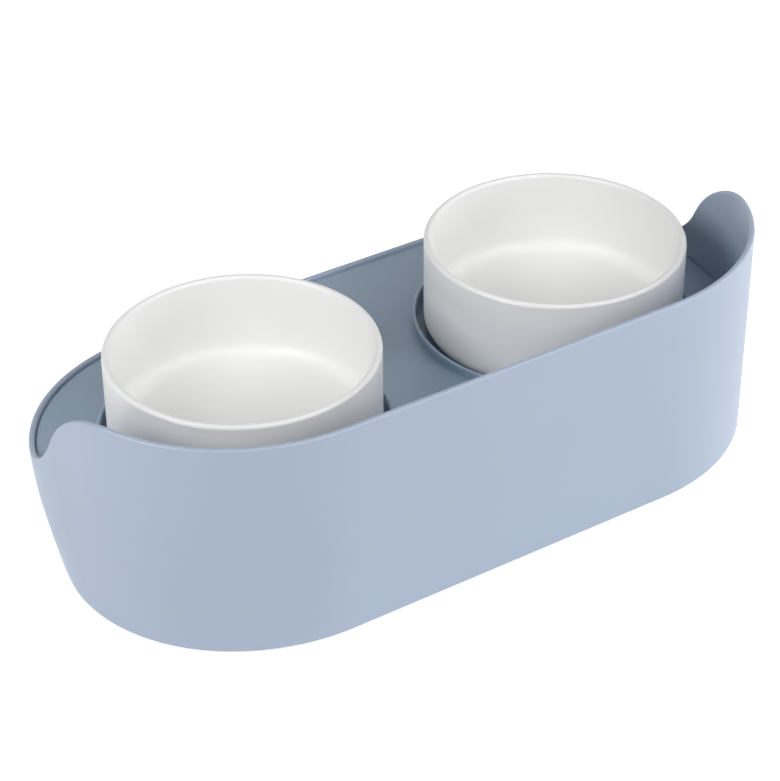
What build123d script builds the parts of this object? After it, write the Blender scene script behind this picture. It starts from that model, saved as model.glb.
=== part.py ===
from build123d import *
from math import atan2, ceil, cos, degrees, hypot, radians, sin, tan
import os

# Double pet bowl: a moulded tub with a splash guard on one long side, a drop-in deck tray
# with two wells, a ceramic bowl in each well, silicone rings under the bowls and rubber feet.
# Millimetres. X runs along the pair of bowls, Z is up, the guard is on the -Y side.
# The origin is on the ground, under the middle of the whole object.

# Bowls
bowl_diameter = 130.0
bowl_height = 50.3
bowl_wall = 3.6
bowl_floor = 3.8
bowl_outer_round = 7.2
bowl_inner_round = 8.0
bowl_foot_width = 8.0
bowl_foot_height = 3.0

# Tub outline: two straight sides joined by half-oval ends, upright on the guard side
# and leaning outwards going up on the far side and at the far corners. The lean is a curve:
# with no curl it is straight, and with a curl of 1 it ends upright at the low rim.
straight_length = 179.4
end_reach = 94.9
half_depth = 86.75
end_flat = 0.4
far_lean = 21.3
lean_curl = 0.79
end_lean = 3.06
bowls_from_guard_side = 95.55
bowls_inside_end_centres = 0.2

# Greatest height between two level sections that the curved wall passes through
section_step = 15.0

# Tub heights above the ground, walls and rounded edges
foot_stand = 1.2
low_rim_height = 57.2
guard_height = 113.4
tub_wall = 2.8
tub_floor = 3.0
bottom_round = 0.9
rim_round = 1.0

# Side view of the tub's top edge: level guard, round shoulder, round foot, low rim;
# the shoulder's radius is a share of the two radii together
shoulder_before_bowl_line = 41.5
shoulder_share = 0.54
fall_angle = 64.4

# Deck tray
deck_height = 55.4
deck_thickness = 3.0
deck_edge_round = 0.6
tray_clearance = 0.3
well_depth = 3.2
well_gap = 3.95
collar_wall = 1.8
collar_rise = 5.1
collar_foot_round = 0.5
collar_top_round = 0.7

# Seats for the tray inside the tub
ledge_width = 3.0
ledge_height = 4.0
rib_wall = 2.4

# Silicone seat rings
ring_width = 5.0
ring_thickness = 1.8
ring_edge_round = 0.5
ring_groove_depth = 1.0
ring_clearance = 0.2

# Rubber feet
foot_diameter = 18.0
foot_recess = 1.5
foot_clearance = 0.15
foot_edge_round = 0.5
foot_boss_wall = 2.0
foot_from_edge = 20.0
foot_angle = 55.0

# Places worked out from the sizes above
lean_slope = tan(radians(far_lean))
side_slant = tan(radians(end_lean)) / lean_slope
rim_rise = low_rim_height - foot_stand
rim_slope = lean_slope * (1 - lean_curl)
rim_round_loss = rim_round * (rim_slope + hypot(1, rim_slope) - 1)
overall_depth = half_depth * 2 + end_flat + lean_slope * rim_rise - rim_round_loss
near_centre_y = half_depth - overall_depth / 2
bowl_line_y = bowls_from_guard_side - overall_depth / 2
bowl_spacing = straight_length - bowls_inside_end_centres * 2
bowl_radius = bowl_diameter / 2
well_radius = bowl_radius + well_gap
fall_radii = (guard_height - low_rim_height) / (1 - cos(radians(fall_angle)))
shoulder_radius = fall_radii * shoulder_share
fall_foot_radius = fall_radii - shoulder_radius
well_floor_top = deck_height - well_depth
well_floor_under = well_floor_top - deck_thickness
deck_under = deck_height - deck_thickness
ring_under = well_floor_top - ring_groove_depth
bowl_seat = ring_under + ring_thickness
foot_ring_outer = bowl_radius - bowl_outer_round
foot_ring_inner = foot_ring_outer - bowl_foot_width
ring_radius = (foot_ring_outer + foot_ring_inner) / 2
tub_floor_top = foot_stand + tub_floor
bowl_places = {
    "left": Location((-bowl_spacing / 2, bowl_line_y, 0)),
    "right": Location((bowl_spacing / 2, bowl_line_y, 0)),
}


def far_centre(height):
    """Centre of the right far corner's oval, which moves outwards going up."""
    rise = height - foot_stand
    if rise < rim_rise:
        rise += lean_curl * rise * (1 - rise / rim_rise)
    else:
        rise -= lean_curl * (rise - rim_rise)
    side = end_flat + lean_slope * rise
    return straight_length / 2 + side_slant * side, near_centre_y + side


def outline(height, inset):
    """Level section of the tub at a height, moved inwards by inset."""
    reach = end_reach - inset
    depth = half_depth - inset
    far_place = far_centre(height)
    meets_side = -degrees(atan2(depth * side_slant, reach))
    near_place = (straight_length / 2, near_centre_y)
    near_corner = EllipticalCenterArc(near_place, reach, depth, start_angle=-90, arc_size=90 + meets_side)
    far_turn = 90 - meets_side
    far_corner = EllipticalCenterArc(far_place, reach, depth, start_angle=meets_side, arc_size=far_turn)
    side = Line(near_corner @ 1, far_corner @ 0)
    right = [near_corner, side, far_corner]
    left = [mirror(edge, about=Plane.YZ) for edge in right]
    guard_side = Line((-straight_length / 2, near_centre_y - depth), near_corner @ 0)
    far_side = Line(far_corner @ 1, (-far_place[0], far_place[1] + depth))
    return Pos(0, 0, height) * make_face([guard_side, *right, far_side, *left])


def leaning_block(low, high, inset):
    """Solid between two heights that follows the tub's leaning wall."""
    steps = ceil((high - low) / section_step)
    heights = [low + (high - low) * step / steps for step in range(steps + 1)]
    return loft([outline(height, inset) for height in heights], ruled=steps == 1)


def disc(radius, low, high):
    """Upright cylinder between two heights."""
    return Pos(0, 0, low) * Cylinder(radius, high - low, align=(Align.CENTER, Align.CENTER, Align.MIN))


def tube(outer, inner, low, high):
    """Upright tube between two heights."""
    return disc(outer, low, high) - disc(inner, low, high)


def turned(edges):
    """Solid of revolution about Z from a closed outline of radius and height."""
    return revolve(Plane.XZ * make_face(edges), Axis.Z)


def arc_about(centre, radius, start, end):
    """Arc from one angle to another, in degrees, about a centre."""
    points = []
    for angle in (start, (start + end) / 2, end):
        along = centre[0] + radius * cos(radians(angle))
        points.append((along, centre[1] + radius * sin(radians(angle))))
    return ThreePointArc(*points)


def space_above_rim():
    """Everything over the tub's top edge: one side view drawn out along X."""
    shoulder_centre = (bowl_line_y - shoulder_before_bowl_line, guard_height - shoulder_radius)
    shoulder = arc_about(shoulder_centre, shoulder_radius, 90, 90 - fall_angle)
    foot_centre_y = shoulder_centre[0] + fall_radii * sin(radians(fall_angle))
    foot_centre = (foot_centre_y, low_rim_height + fall_foot_radius)
    foot = arc_about(foot_centre, fall_foot_radius, 270 - fall_angle, 270)
    near = -overall_depth
    far = overall_depth
    top = guard_height + overall_depth
    edges = [
        Line((near, guard_height), shoulder @ 0),
        shoulder,
        foot,
        Line(foot @ 1, (far, low_rim_height)),
        Line((far, low_rim_height), (far, top)),
        Line((far, top), (near, top)),
        Line((near, top), (near, guard_height)),
    ]
    return extrude(Plane.YZ * make_face(edges), straight_length / 2 + end_reach * 2, both=True)


def foot_places():
    """Middle of each foot, on the underside of the tub, near where the end rounds start."""
    inset = foot_from_edge + foot_diameter / 2
    x = straight_length / 2 + (end_reach - inset) * cos(radians(foot_angle))
    y = (half_depth - inset) * sin(radians(foot_angle))
    near = near_centre_y - y
    far = far_centre(foot_stand)[1] + y
    return {
        "near_left": Location((-x, near, foot_stand)),
        "near_right": Location((x, near, foot_stand)),
        "far_left": Location((-x, far, foot_stand)),
        "far_right": Location((x, far, foot_stand)),
    }


def looks_up(face):
    """True for a face of the tub's top edge, level or falling."""
    steepest = cos(radians((fall_angle + 90) / 2))
    return face.center().Z > deck_height and face.normal_at().Z > steepest


def make_base_tub():
    """Outer shell with its floor, guard and low rim, the ledge and rib under the tray, and foot recesses."""
    spare_top = guard_height + tub_wall
    body = leaning_block(foot_stand, spare_top, 0)
    body = fillet(body.faces().sort_by(Axis.Z)[0].edges(), bottom_round)
    tub = body - leaning_block(tub_floor_top, spare_top, tub_wall) - space_above_rim()
    along_rim = [edge for face in tub.faces() if looks_up(face) for edge in face.edges()]
    along_rim = [edge for edge in along_rim if edge.length > tub_wall * 2]
    tub = fillet(along_rim, rim_round)
    ledge = leaning_block(deck_under - ledge_height, deck_under, tub_wall / 2)
    tub += ledge - leaning_block(deck_under - ledge_height, deck_under, tub_wall + ledge_width)
    rib_height = deck_under - tub_floor_top
    rib = Box(rib_wall, overall_depth, rib_height, align=(Align.CENTER, Align.CENTER, Align.MIN))
    tub += Pos(0, 0, tub_floor_top) * rib & leaning_block(foot_stand, deck_under, tub_wall / 2)
    for place in foot_places().values():
        tub += place * disc(foot_diameter / 2 + foot_boss_wall, tub_floor / 2, tub_floor + foot_recess)
        tub -= place * disc(foot_diameter / 2 + foot_clearance, 0, foot_recess)
    return tub


def make_deck_tray():
    """Level deck that drops into the tub, with two sunk wells and a collar round each."""
    tray = leaning_block(deck_under, deck_height, tub_wall + tray_clearance)
    tray = fillet(tray.faces().sort_by(Axis.Z)[-1].edges(), deck_edge_round)
    collar_radius = well_radius + collar_wall
    collar_top = deck_height + collar_rise
    for place in bowl_places.values():
        tray -= place * disc(well_radius, well_floor_under, collar_top)
        tray += place * tube(collar_radius, well_radius, well_floor_under, collar_top)
        tray += place * disc(well_radius, well_floor_under, well_floor_top)
        groove_outer = ring_radius + ring_width / 2 + ring_clearance
        groove_inner = ring_radius - ring_width / 2 - ring_clearance
        tray -= place * tube(groove_outer, groove_inner, ring_under, well_floor_top)
    circles = tray.edges().filter_by(GeomType.CIRCLE)
    top_edges = [edge for edge in circles if edge.center().Z > collar_top - collar_top_round]
    tray = fillet(top_edges, collar_top_round)
    circles = tray.edges().filter_by(GeomType.CIRCLE)
    foot_edges = [edge for edge in circles if is_collar_foot(edge)]
    return fillet(foot_edges, collar_foot_round)


def is_collar_foot(edge):
    """True for the circle where a collar rises from the deck."""
    on_deck = abs(edge.center().Z - deck_height) < deck_edge_round / 2
    return on_deck and abs(edge.radius - well_radius - collar_wall) < collar_wall / 2


def make_bowl():
    """Ceramic bowl on its foot ring, about the Z axis."""
    inner_radius = bowl_radius - bowl_wall
    rim_radius = bowl_wall / 2
    rim_centre_z = bowl_seat + bowl_height - rim_radius
    under = bowl_seat + bowl_foot_height
    floor_top = under + bowl_floor
    lower_edge = arc_about((foot_ring_outer, bowl_seat + bowl_outer_round), bowl_outer_round, 270, 360)
    rim = arc_about((bowl_radius - rim_radius, rim_centre_z), rim_radius, 0, 180)
    corner_centre = (inner_radius - bowl_inner_round, floor_top + bowl_inner_round)
    corner = arc_about(corner_centre, bowl_inner_round, 0, -90)
    recess_edge = (foot_ring_inner - bowl_foot_height, under)
    edges = [
        Line((0, under), recess_edge),
        Line(recess_edge, (foot_ring_inner, bowl_seat)),
        Line((foot_ring_inner, bowl_seat), lower_edge @ 0),
        lower_edge,
        Line(lower_edge @ 1, rim @ 0),
        rim,
        Line(rim @ 1, corner @ 0),
        corner,
        Line(corner @ 1, (0, floor_top)),
        Line((0, floor_top), (0, under)),
    ]
    return turned(edges)


def make_seat_ring():
    """Flat silicone ring in the groove of a well, about the Z axis."""
    ring = tube(ring_radius + ring_width / 2, ring_radius - ring_width / 2, ring_under, bowl_seat)
    return fillet(ring.edges().filter_by(GeomType.CIRCLE).group_by(Axis.Z)[-1], ring_edge_round)


def make_foot():
    """Rubber foot, with its own middle level with the underside of the tub."""
    foot = disc(foot_diameter / 2, -foot_stand, foot_recess)
    return fillet(foot.edges().filter_by(GeomType.CIRCLE).group_by(Axis.Z)[0], foot_edge_round)


nodes = {"base_tub": make_base_tub(), "deck_tray": make_deck_tray()}
bowl = make_bowl()
seat_ring = make_seat_ring()
foot = make_foot()
for side, place in bowl_places.items():
    nodes[side + "_bowl"] = place * bowl
    nodes[side + "_seat_ring"] = place * seat_ring
for corner, place in foot_places().items():
    nodes[corner + "_foot"] = place * foot

os.makedirs("parts", exist_ok=True)
for name, solid in nodes.items():
    export_step(solid, "parts/" + name + ".step")
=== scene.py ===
import math

import bpy
from mathutils import Matrix, Vector


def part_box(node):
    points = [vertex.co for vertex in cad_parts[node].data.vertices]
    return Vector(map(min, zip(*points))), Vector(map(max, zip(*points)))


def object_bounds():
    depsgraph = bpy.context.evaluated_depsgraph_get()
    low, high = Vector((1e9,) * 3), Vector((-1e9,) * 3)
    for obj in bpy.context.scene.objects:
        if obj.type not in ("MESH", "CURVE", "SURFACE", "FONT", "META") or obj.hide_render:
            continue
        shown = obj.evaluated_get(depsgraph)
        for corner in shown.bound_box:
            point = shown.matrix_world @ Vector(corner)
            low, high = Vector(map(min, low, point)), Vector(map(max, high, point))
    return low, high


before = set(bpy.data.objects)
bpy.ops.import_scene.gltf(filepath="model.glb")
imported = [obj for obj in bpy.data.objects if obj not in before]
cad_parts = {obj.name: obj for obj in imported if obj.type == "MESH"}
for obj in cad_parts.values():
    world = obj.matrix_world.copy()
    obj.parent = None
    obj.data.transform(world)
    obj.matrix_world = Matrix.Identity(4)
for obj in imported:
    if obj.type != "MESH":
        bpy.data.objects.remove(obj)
cad_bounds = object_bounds()
scene = bpy.context.scene
scene.view_settings.view_transform = "Standard"

# Camera, at the photograph's viewing angle
PHOTO_WIDTH = 780
FOCAL_PIXELS = 2417.9
SENSOR_WIDTH = 36.0
VIEW_AZIMUTH = math.radians(-32.816)
VIEW_ELEVATION = math.radians(34.369)
VIEW_ROLL = math.radians(-0.484)
VIEW_DISTANCE = 1.0859
VIEW_TARGET = Vector((-0.0524, -0.07047, 0.1033))

# Colours, linear
TUB_BLUE = (0.388, 0.463, 0.581)
# Tray colour is the tub's plastic made darker: painted shade for the shade the guard and bowls cast on the
# deck
TRAY_BLUE_PAINTED_SHADE = (0.303, 0.398, 0.507)
GLAZE_WHITE = (0.90, 0.90, 0.895)
BARE_CLAY = (0.78, 0.74, 0.68)
SILICONE_GREY = (0.62, 0.65, 0.68)
RUBBER_GREY = (0.09, 0.10, 0.115)
STAGE_GREY = (0.80, 0.80, 0.80)
WHITE = (1, 1, 1)

# Bare clay of the bowls' foot rings: its roughness, and where the glaze starts and is full above the seat
CLAY_ROUGHNESS = 0.85
GLAZE_START = 0.0006
GLAZE_FULL = 0.0012

# Range in which most values of a noise texture lie
NOISE_LOW = 0.3
NOISE_HIGH = 0.7

# Floor and surround: the floor's glow is low near the object, where the shadow falls, and white further away
FLOOR_SIZE = 12.0
FLOOR_GAP = 0.0001
SHADOW_REACH = 0.6
WHITE_FROM = 1.4
SHADOW_GLOW = 0.66
FULL_GLOW = 1.0
WORLD_LEVEL = 0.04

# Soft lamps: azimuth and elevation in degrees, height of the lit face and power
LAMP_DISTANCE = 1.6
LAMP_WIDTH = 0.9
TALL = 0.7
LOW = 0.45
LAMPS = {
    "left_softbox": (-85, 38, TALL, 12.4),
    "left_low_softbox": (-85, 10, LOW, 3.7),
    "right_front_softbox": (45, 38, TALL, 3.2),
    "right_front_low_softbox": (45, 10, LOW, 6.5),
    "right_low_softbox": (75, 10, LOW, 4.2),
    "front_softbox": (15, 38, TALL, 7.4),
    "top_softbox": (0, 65, TALL, 3.3),
}


def add_camera():
    """Camera that looks at the object as the photograph does."""
    flat = math.cos(VIEW_ELEVATION)
    back = Vector((math.sin(VIEW_AZIMUTH) * flat, -math.cos(VIEW_AZIMUTH) * flat, math.sin(VIEW_ELEVATION)))
    level_right = Vector((math.cos(VIEW_AZIMUTH), math.sin(VIEW_AZIMUTH), 0))
    level_up = back.cross(level_right)
    right = level_right * math.cos(VIEW_ROLL) + level_up * math.sin(VIEW_ROLL)
    up = level_up * math.cos(VIEW_ROLL) - level_right * math.sin(VIEW_ROLL)
    data = bpy.data.cameras.new("photo_camera")
    data.sensor_fit = "HORIZONTAL"
    data.sensor_width = SENSOR_WIDTH
    data.lens = FOCAL_PIXELS * SENSOR_WIDTH / PHOTO_WIDTH
    camera = bpy.data.objects.new("photo_camera", data)
    place = VIEW_TARGET + back * VIEW_DISTANCE
    camera.matrix_world = Matrix.Translation(place) @ Matrix((right, up, back)).transposed().to_4x4()
    scene.collection.objects.link(camera)
    scene.camera = camera


class Nodes:
    """Short way to add and link the nodes of one material or world."""

    # Sockets of the Mix node that carry its factor, its two colours and its result
    MIX_FACTOR = 0
    MIX_FIRST = 6
    MIX_SECOND = 7
    MIX_RESULT = 2

    def __init__(self, tree):
        self.tree = tree
        tree.nodes.clear()

    def add(self, kind, inputs=None, **settings):
        """New node with the given inputs and settings."""
        node = self.tree.nodes.new(kind)
        for name, value in settings.items():
            setattr(node, name, value)
        for name, value in (inputs or {}).items():
            self.put(node.inputs[name], value)
        return node

    def put(self, socket, value):
        """Links a socket to another, or sets its value."""
        if isinstance(value, bpy.types.NodeSocket):
            self.tree.links.new(value, socket)
        elif isinstance(value, tuple) and len(value) == 3 and socket.type == "RGBA":
            socket.default_value = (*value, 1)
        else:
            socket.default_value = value

    def place(self):
        """Point on the surface, in the object's own frame."""
        return self.add("ShaderNodeTexCoord").outputs["Object"]

    def noise(self, place, scale, detail=2.0, roughness=0.5):
        """Noise texture."""
        inputs = {"Vector": place, "Scale": scale, "Detail": detail, "Roughness": roughness}
        return self.add("ShaderNodeTexNoise", inputs).outputs["Fac"]

    def spread(self, factor, low, high):
        """Noise spread over a range of values."""
        return self.add("ShaderNodeMapRange", {
            "Value": factor, "From Min": NOISE_LOW, "From Max": NOISE_HIGH, "To Min": low, "To Max": high,
        }).outputs["Result"]

    def relief(self, height, strength, distance):
        """Normal with a fine relief."""
        inputs = {"Height": height, "Strength": strength, "Distance": distance}
        return self.add("ShaderNodeBump", inputs).outputs["Normal"]

    def blend(self, factor, first, second):
        """Colour between two colours."""
        node = self.add("ShaderNodeMix", data_type="RGBA")
        self.put(node.inputs[self.MIX_FACTOR], factor)
        self.put(node.inputs[self.MIX_FIRST], first)
        self.put(node.inputs[self.MIX_SECOND], second)
        return node.outputs[self.MIX_RESULT]

    def mottle(self, factor, colour, darker, lighter):
        """Colour that wanders between a darker and a lighter shade of itself with a noise."""
        return self.blend(self.spread(factor, 0.0, 1.0), shade(colour, darker), shade(colour, lighter))

    def larger(self, first, second):
        """The larger of two values."""
        node = self.add("ShaderNodeMath", operation="MAXIMUM")
        self.put(node.inputs[0], first)
        self.put(node.inputs[1], second)
        return node.outputs[0]

    def choose(self, factor, first, second):
        """The first shader where the factor is 0, and the second where it is 1."""
        node = self.add("ShaderNodeMixShader", {"Fac": factor})
        self.put(node.inputs[1], first)
        self.put(node.inputs[2], second)
        return node.outputs[0]


def new_material(name):
    """Empty node material and its node helper."""
    material = bpy.data.materials.new(name)
    material.use_nodes = True
    return material, Nodes(material.node_tree)


def shade(colour, factor):
    """A colour made lighter or darker."""
    return tuple(min(1.0, part * factor) for part in colour)


def finish_surface(nodes, inputs):
    """Principled surface with the given inputs, joined to the output."""
    surface = nodes.add("ShaderNodeBsdfPrincipled", inputs)
    nodes.add("ShaderNodeOutputMaterial", {"Surface": surface.outputs["BSDF"]})


def moulded_plastic(name, colour):
    """Satin moulded plastic: fine spark-eroded grain, faint flow marks and uneven gloss."""
    material, nodes = new_material(name)
    place = nodes.place()
    grain = nodes.noise(place, scale=1500, detail=3.0, roughness=0.6)
    flow = nodes.noise(place, scale=9)
    gloss = nodes.noise(place, scale=70, detail=3.0)
    finish_surface(nodes, {
        "Base Color": nodes.mottle(flow, colour, darker=0.985, lighter=1.015),
        "Roughness": nodes.spread(gloss, low=0.35, high=0.41),
        "IOR": 1.49,
        "Normal": nodes.relief(grain, strength=0.12, distance=0.00006),
    })
    return material


def satin_glaze(name, seat_height):
    """Satin white glaze over clay: the foot ring, up to just above its seat, is left bare."""
    material, nodes = new_material(name)
    place = nodes.place()
    peel = nodes.noise(place, scale=320)
    pool = nodes.noise(place, scale=16)
    height = nodes.add("ShaderNodeSeparateXYZ", {"Vector": place}).outputs["Z"]
    glazed = nodes.add("ShaderNodeMapRange", {
        "Value": height, "From Min": seat_height + GLAZE_START, "From Max": seat_height + GLAZE_FULL,
    }).outputs["Result"]
    glaze = nodes.mottle(pool, GLAZE_WHITE, darker=0.985, lighter=1.01)
    gloss = nodes.spread(pool, low=0.38, high=0.44)
    rough = nodes.add("ShaderNodeMapRange", {"Value": glazed, "To Min": CLAY_ROUGHNESS, "To Max": gloss})
    finish_surface(nodes, {
        "Base Color": nodes.blend(glazed, BARE_CLAY, glaze),
        "Roughness": rough.outputs["Result"],
        "IOR": 1.5,
        "Normal": nodes.relief(peel, strength=0.05, distance=0.0002),
    })
    return material


def soft_rubber(name, colour, dullest, glossiest):
    """Silicone or rubber: dull, with a fine uneven skin."""
    material, nodes = new_material(name)
    place = nodes.place()
    skin = nodes.noise(place, scale=900, detail=3.0)
    patch = nodes.noise(place, scale=60)
    finish_surface(nodes, {
        "Base Color": nodes.mottle(patch, colour, darker=0.93, lighter=1.07),
        "Roughness": nodes.spread(patch, low=glossiest, high=dullest),
        "IOR": 1.43,
        "Normal": nodes.relief(skin, strength=0.2, distance=0.0001),
    })
    return material


def dress_cad_nodes():
    """Puts the materials on the CAD nodes, by the endings of their names."""
    seat_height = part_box("left_bowl")[0].z
    looks = {
        "base_tub": moulded_plastic("tub_plastic", TUB_BLUE),
        # The deck tray gets the darker blue, which is painted shade on the same plastic as the tub
        "deck_tray": moulded_plastic("tray_plastic_painted_shade", TRAY_BLUE_PAINTED_SHADE),
        "bowl": satin_glaze("bowl_glaze", seat_height),
        "seat_ring": soft_rubber("ring_silicone", SILICONE_GREY, dullest=0.60, glossiest=0.50),
        "foot": soft_rubber("foot_rubber", RUBBER_GREY, dullest=0.75, glossiest=0.65),
    }
    for name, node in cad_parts.items():
        look = next(material for ending, material in looks.items() if name.endswith(ending))
        node.data.materials.clear()
        node.data.materials.append(look)


def seen_directly(nodes):
    """1 where a camera, mirror or glass ray meets the stage, else 0."""
    path = nodes.add("ShaderNodeLightPath").outputs
    camera_or_gloss = nodes.larger(path["Is Camera Ray"], path["Is Glossy Ray"])
    return nodes.larger(camera_or_gloss, path["Is Transmission Ray"])


def add_floor():
    """Floor that looks white and keeps a soft shadow near the object."""
    material, nodes = new_material("stage_white")
    matte = nodes.add("ShaderNodeBsdfDiffuse", {"Color": STAGE_GREY}).outputs["BSDF"]
    away = nodes.add("ShaderNodeVectorMath", operation="LENGTH")
    nodes.put(away.inputs[0], nodes.place())
    level = nodes.add("ShaderNodeMapRange", {
        "Value": away.outputs["Value"], "From Min": SHADOW_REACH, "From Max": WHITE_FROM,
        "To Min": SHADOW_GLOW, "To Max": FULL_GLOW,
    }).outputs["Result"]
    glow = nodes.add("ShaderNodeEmission", {"Color": WHITE, "Strength": level}).outputs["Emission"]
    lit = nodes.add("ShaderNodeAddShader")
    nodes.put(lit.inputs[0], matte)
    nodes.put(lit.inputs[1], glow)
    surface = nodes.choose(seen_directly(nodes), matte, lit.outputs[0])
    nodes.add("ShaderNodeOutputMaterial", {"Surface": surface})
    bpy.ops.mesh.primitive_plane_add(size=FLOOR_SIZE, location=(0, 0, cad_bounds[0][2] - FLOOR_GAP))
    floor = bpy.context.object
    floor.name = "studio_floor"
    floor.data.materials.append(material)


def add_world():
    """Even studio surround: white where it is seen, and at a plain level as light."""
    world = bpy.data.worlds.new("studio")
    world.use_nodes = True
    scene.world = world
    nodes = Nodes(world.node_tree)
    light = nodes.add("ShaderNodeBackground", {"Color": WHITE, "Strength": WORLD_LEVEL}).outputs["Background"]
    white = nodes.add("ShaderNodeBackground", {"Color": WHITE, "Strength": FULL_GLOW}).outputs["Background"]
    nodes.add("ShaderNodeOutputWorld", {"Surface": nodes.choose(seen_directly(nodes), light, white)})


def add_softbox(name, azimuth, elevation, height, power):
    """Soft lamp that looks at the object from an azimuth and elevation in degrees."""
    turn = math.radians(azimuth)
    lift = math.radians(elevation)
    away = Vector((math.sin(turn) * math.cos(lift), -math.cos(turn) * math.cos(lift), math.sin(lift)))
    data = bpy.data.lights.new(name, "AREA")
    data.shape = "RECTANGLE"
    data.size = LAMP_WIDTH
    data.size_y = height
    data.energy = power
    lamp = bpy.data.objects.new(name, data)
    lamp.location = away * LAMP_DISTANCE
    lamp.rotation_euler = away.to_track_quat("Z", "Y").to_euler()
    scene.collection.objects.link(lamp)


add_camera()
dress_cad_nodes()
add_floor()
add_world()
for name, lamp in LAMPS.items():
    add_softbox(name, *lamp)
